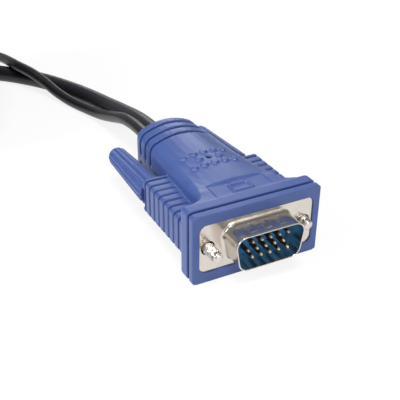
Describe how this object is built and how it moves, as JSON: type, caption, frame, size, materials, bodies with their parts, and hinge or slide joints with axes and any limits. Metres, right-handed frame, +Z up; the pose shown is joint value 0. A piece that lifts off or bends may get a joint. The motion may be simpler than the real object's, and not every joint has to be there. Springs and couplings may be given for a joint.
{
  "type": "usb kvm cable",
  "caption": "Moulded video plug with captive thumb screws that carries a video cord and a thin USB cord, each folded into a tied hank and ending in its own plug.",
  "frame": {"origin": "under the middle of the switch plug, on the surface that it lies on", "axes": "+X across the switch plug to its right screw, +Y from its contacts back to its cords, +Z up"},
  "size_m": [0.0961, 0.1689, 0.0446],
  "materials": {
    "hood": "satin, fine grain",
    "insulator": "smooth",
    "screw": "bright nickel plate",
    "spring_steel": "satin",
    "shell": "satin nickel plate",
    "contacts": "gold plate",
    "wires": "tinned copper in thin insulation",
    "inner_mould": "milky polyethylene",
    "tongue": "smooth",
    "grip": "satin, fine grain",
    "video_cord": "satin PVC jacket",
    "usb_cord": "satin PVC jacket"
  },
  "bodies": {
    "cable": {"switch_hood": "hood", "switch_front_shell": "shell", "switch_rear_shell": "shell", "switch_front_insulator": "insulator", "switch_rear_insulator": "insulator", "switch_contact_pins": "contacts", "switch_inner_mould": "inner_mould", "switch_shield_top": "spring_steel", "switch_shield_bottom": "spring_steel", "switch_video_wires": "wires", "switch_usb_wires": "wires", "switch_video_ferrule": "spring_steel", "switch_usb_ferrule": "spring_steel", "pc_hood": "hood", "pc_front_shell": "shell", "pc_rear_shell": "shell", "pc_front_insulator": "insulator", "pc_rear_insulator": "insulator", "pc_contact_pins": "contacts", "pc_inner_mould": "inner_mould", "pc_shield_top": "spring_steel", "pc_shield_bottom": "spring_steel", "pc_wires": "wires", "pc_ferrule": "spring_steel", "usb_shell": "shell", "usb_tongue": "tongue", "usb_contacts": "contacts", "usb_core": "inner_mould", "usb_wires": "wires", "usb_grip": "grip", "video_cable": "video_cord", "video_hank": "video_cord", "video_tail": "video_cord", "usb_cable": "usb_cord", "usb_hank": "usb_cord", "usb_tail": "usb_cord", "hank_tie": "grip"},
    "switch_left_retainer": {"switch_left_clip": "spring_steel"},
    "switch_left_thumb_screw": {"switch_left_screw": "screw", "switch_left_knob": "hood"},
    "switch_right_retainer": {"switch_right_clip": "spring_steel"},
    "switch_right_thumb_screw": {"switch_right_screw": "screw", "switch_right_knob": "hood"},
    "pc_left_retainer": {"pc_left_clip": "spring_steel"},
    "pc_left_thumb_screw": {"pc_left_screw": "screw", "pc_left_knob": "hood"},
    "pc_right_retainer": {"pc_right_clip": "spring_steel"},
    "pc_right_thumb_screw": {"pc_right_screw": "screw", "pc_right_knob": "hood"}
  },
  "joints": [
    {"name": "switch_left_slide", "type": "slide", "parent": "cable", "child": "switch_left_retainer", "axis": [-0.0122, 0.9998, -0.0157], "range_m": [-0.0012, 0.0028]},
    {"name": "switch_left_spin", "type": "hinge", "parent": "switch_left_retainer", "child": "switch_left_thumb_screw", "pos_m": [-0.01249, -0.02445, 0.0088], "axis": [-0.0122, 0.9998, -0.0157], "continuous": true},
    {"name": "switch_right_slide", "type": "slide", "parent": "cable", "child": "switch_right_retainer", "axis": [0.0122, 0.9998, -0.0157], "range_m": [-0.0037, 0.0003]},
    {"name": "switch_right_spin", "type": "hinge", "parent": "switch_right_retainer", "child": "switch_right_thumb_screw", "pos_m": [0.01249, -0.02445, 0.0088], "axis": [0.0122, 0.9998, -0.0157], "continuous": true},
    {"name": "pc_left_slide", "type": "slide", "parent": "cable", "child": "pc_left_retainer", "axis": [0.0122, -0.9998, -0.0157], "range_m": [-0.0006, 0.0034]},
    {"name": "pc_left_spin", "type": "hinge", "parent": "pc_left_retainer", "child": "pc_left_thumb_screw", "pos_m": [-0.03381, 0.1325, 0.0352], "axis": [0.0122, -0.9998, -0.0157], "continuous": true},
    {"name": "pc_right_slide", "type": "slide", "parent": "cable", "child": "pc_right_retainer", "axis": [-0.0122, -0.9998, -0.0157], "range_m": [-0.0025, 0.0015]},
    {"name": "pc_right_spin", "type": "hinge", "parent": "pc_right_retainer", "child": "pc_right_thumb_screw", "pos_m": [-0.0588, 0.1325, 0.0352], "axis": [-0.0122, -0.9998, -0.0157], "continuous": true}
  ]
}
